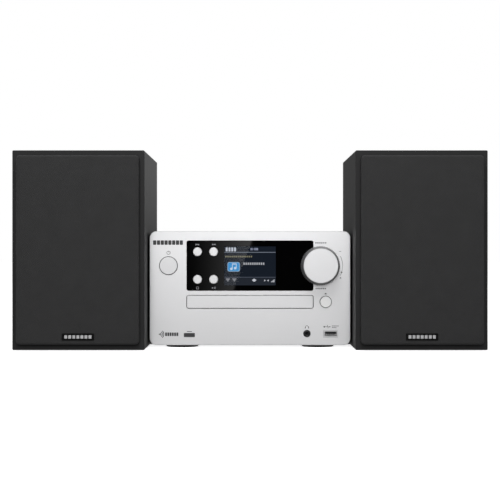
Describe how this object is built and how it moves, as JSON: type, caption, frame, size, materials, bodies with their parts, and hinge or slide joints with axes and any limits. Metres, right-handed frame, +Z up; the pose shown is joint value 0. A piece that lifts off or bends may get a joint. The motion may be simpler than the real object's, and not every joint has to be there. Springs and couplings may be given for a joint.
{
  "type": "mini hifi system",
  "caption": "Compact hifi set: an aluminium-fronted main unit with display, keys, volume knob and disc tray, between free-standing speakers with cloth grilles.",
  "frame": {"origin": "on the shelf, at the middle of the whole set's width and depth", "axes": "+X to the right seen from the front, +Y to the rear, +Z up"},
  "size_m": [0.474, 0.2746, 0.1997],
  "materials": {
    "panel_aluminium": "fine brushed satin",
    "key_metal": "satin",
    "knob_grey": "satin dark grey",
    "window_acrylic": "high gloss black",
    "screen_glass": "gloss dark blue",
    "black_plastic": "fine matt texture",
    "cover_paint": "fine textured matt black",
    "chassis_steel": "zinc plated",
    "bright_steel": "bright",
    "nickel": "nickel plated",
    "rubber_black": "matt",
    "white_plastic": "matt white",
    "circuit_board": "green solder mask",
    "cabinet_wood": "black foil on fibreboard",
    "grille_fabric": "charcoal acoustic cloth",
    "cone_paper": "black pulp cone",
    "lever_red_plastic": "red",
    "lever_black_plastic": "black"
  },
  "bodies": {
    "main_unit": {"front_panel": "panel_aluminium", "display_window": "window_acrylic", "display_module": "screen_glass", "panel_carrier": "black_plastic", "front_board": "circuit_board", "encoder_body": "bright_steel", "headphone_jack": "black_plastic", "usb_socket": "bright_steel", "bottom_chassis": "chassis_steel", "top_cover": "cover_paint", "rear_panel": "cover_paint", "mains_inlet": "black_plastic", "speaker_sockets": "black_plastic", "aerial_socket": "nickel", "rear_screws": "nickel", "main_feet": "rubber_black", "loading_motor": "bright_steel", "loader_frame": "black_plastic", "spindle_motor": "bright_steel", "sled_rails": "bright_steel", "main_board": "circuit_board", "power_board": "circuit_board"},
    "power_key": {"power_button": "key_metal"},
    "eject_key": {"eject_button": "key_metal"},
    "previous_key": {"previous_button": "key_metal"},
    "next_key": {"next_button": "key_metal"},
    "stop_key": {"stop_button": "key_metal"},
    "play_key": {"play_button": "key_metal"},
    "knob_plunger": {"encoder_slider": "white_plastic"},
    "knob": {"encoder_shaft": "bright_steel", "volume_knob": "knob_grey", "knob_cap": "key_metal"},
    "tray": {"tray_front": "panel_aluminium", "disc_tray": "black_plastic"},
    "gear": {"drive_gear": "white_plastic"},
    "pinion": {"motor_pinion": "white_plastic"},
    "puck": {"clamp_puck": "white_plastic"},
    "disc_platter": {"turntable": "black_plastic"},
    "sled": {"laser_sled": "black_plastic"},
    "left_speaker": {"left_cabinet": "cabinet_wood", "left_speaker_feet": "rubber_black", "left_woofer_frame": "black_plastic", "left_tweeter": "black_plastic", "left_terminal_cup": "black_plastic"},
    "left_grille": {"left_grille_frame": "black_plastic", "left_grille_cloth": "grille_fabric"},
    "left_cone": {"left_woofer_cone": "cone_paper"},
    "left_red_clip": {"left_red_lever": "lever_red_plastic"},
    "left_black_clip": {"left_black_lever": "lever_black_plastic"},
    "right_speaker": {"right_cabinet": "cabinet_wood", "right_speaker_feet": "rubber_black", "right_woofer_frame": "black_plastic", "right_tweeter": "black_plastic", "right_terminal_cup": "black_plastic"},
    "right_grille": {"right_grille_frame": "black_plastic", "right_grille_cloth": "grille_fabric"},
    "right_cone": {"right_woofer_cone": "cone_paper"},
    "right_red_clip": {"right_red_lever": "lever_red_plastic"},
    "right_black_clip": {"right_black_lever": "lever_black_plastic"}
  },
  "joints": [
    {"name": "power_press", "type": "slide", "parent": "main_unit", "child": "power_key", "axis": [0, 1, 0], "range_m": [0, 0.0008], "stiffness_N_per_m": 500, "springref_m": -0.001},
    {"name": "eject_press", "type": "slide", "parent": "main_unit", "child": "eject_key", "axis": [0, 1, 0], "range_m": [0, 0.0008], "stiffness_N_per_m": 500, "springref_m": -0.001},
    {"name": "previous_press", "type": "slide", "parent": "main_unit", "child": "previous_key", "axis": [0, 1, 0], "range_m": [0, 0.0008], "stiffness_N_per_m": 500, "springref_m": -0.001},
    {"name": "next_press", "type": "slide", "parent": "main_unit", "child": "next_key", "axis": [0, 1, 0], "range_m": [0, 0.0008], "stiffness_N_per_m": 500, "springref_m": -0.001},
    {"name": "stop_press", "type": "slide", "parent": "main_unit", "child": "stop_key", "axis": [0, 1, 0], "range_m": [0, 0.0008], "stiffness_N_per_m": 500, "springref_m": -0.001},
    {"name": "play_press", "type": "slide", "parent": "main_unit", "child": "play_key", "axis": [0, 1, 0], "range_m": [0, 0.0008], "stiffness_N_per_m": 500, "springref_m": -0.001},
    {"name": "knob_push", "type": "slide", "parent": "main_unit", "child": "knob_plunger", "axis": [0, 1, 0], "range_m": [0, 0.0006], "stiffness_N_per_m": 1200, "springref_m": -0.001},
    {"name": "volume_turn", "type": "hinge", "parent": "knob_plunger", "child": "knob", "pos_m": [0.0722, -0.0867, 0.0842], "axis": [0, -1, 0], "continuous": true},
    {"name": "tray_slide", "type": "slide", "parent": "main_unit", "child": "tray", "axis": [0, -1, 0], "range_m": [0, 0.126]},
    {"name": "gear_turn", "type": "hinge", "parent": "main_unit", "child": "gear", "pos_m": [-0.0469, -0.0627, 0.04], "axis": [0, 0, 1], "range_deg": [-10, 615]},
    {"name": "pinion_turn", "type": "hinge", "parent": "main_unit", "child": "pinion", "pos_m": [-0.0469, -0.0467, 0.04], "axis": [0, 0, 1], "range_deg": [-1840, 20]},
    {"name": "puck_spin", "type": "hinge", "parent": "main_unit", "child": "puck", "pos_m": [0, -0.0187, 0.055], "axis": [0, 0, 1], "continuous": true},
    {"name": "disc_spin", "type": "hinge", "parent": "main_unit", "child": "disc_platter", "pos_m": [0, -0.0187, 0.045], "axis": [0, 0, 1], "continuous": true},
    {"name": "sled_travel", "type": "slide", "parent": "main_unit", "child": "sled", "axis": [0, 1, 0], "range_m": [0, 0.035]},
    {"name": "left_speaker_shift", "type": "slide", "parent": "main_unit", "child": "left_speaker", "axis": [-1, 0, 0], "range_m": [0, 0.3]},
    {"name": "left_grille_pull", "type": "slide", "parent": "left_speaker", "child": "left_grille", "axis": [0, -1, 0], "range_m": [0, 0.06]},
    {"name": "left_cone_stroke", "type": "slide", "parent": "left_speaker", "child": "left_cone", "axis": [0, -1, 0], "range_m": [-0.003, 0.003], "stiffness_N_per_m": 1000},
    {"name": "left_red_press", "type": "hinge", "parent": "left_speaker", "child": "left_red_clip", "pos_m": [-0.1801, 0.0408, 0.0715], "axis": [1, 0, 0], "range_deg": [0, 15], "stiffness_Nm_per_rad": 0.08, "springref_deg": -17.19},
    {"name": "left_black_press", "type": "hinge", "parent": "left_speaker", "child": "left_black_clip", "pos_m": [-0.1621, 0.0408, 0.0715], "axis": [1, 0, 0], "range_deg": [0, 15], "stiffness_Nm_per_rad": 0.08, "springref_deg": -17.19},
    {"name": "right_speaker_shift", "type": "slide", "parent": "main_unit", "child": "right_speaker", "axis": [1, 0, 0], "range_m": [0, 0.3]},
    {"name": "right_grille_pull", "type": "slide", "parent": "right_speaker", "child": "right_grille", "axis": [0, -1, 0], "range_m": [0, 0.06]},
    {"name": "right_cone_stroke", "type": "slide", "parent": "right_speaker", "child": "right_cone", "axis": [0, -1, 0], "range_m": [-0.003, 0.003], "stiffness_N_per_m": 1000},
    {"name": "right_red_press", "type": "hinge", "parent": "right_speaker", "child": "right_red_clip", "pos_m": [0.1621, 0.0408, 0.0715], "axis": [1, 0, 0], "range_deg": [0, 15], "stiffness_Nm_per_rad": 0.08, "springref_deg": -17.19},
    {"name": "right_black_press", "type": "hinge", "parent": "right_speaker", "child": "right_black_clip", "pos_m": [0.1801, 0.0408, 0.0715], "axis": [1, 0, 0], "range_deg": [0, 15], "stiffness_Nm_per_rad": 0.08, "springref_deg": -17.19}
  ],
  "couplings": [
    {"joint": "gear_turn", "follows": "tray_slide", "rad_per_m": 83.333},
    {"joint": "pinion_turn", "follows": "tray_slide", "rad_per_m": -250}
  ]
}
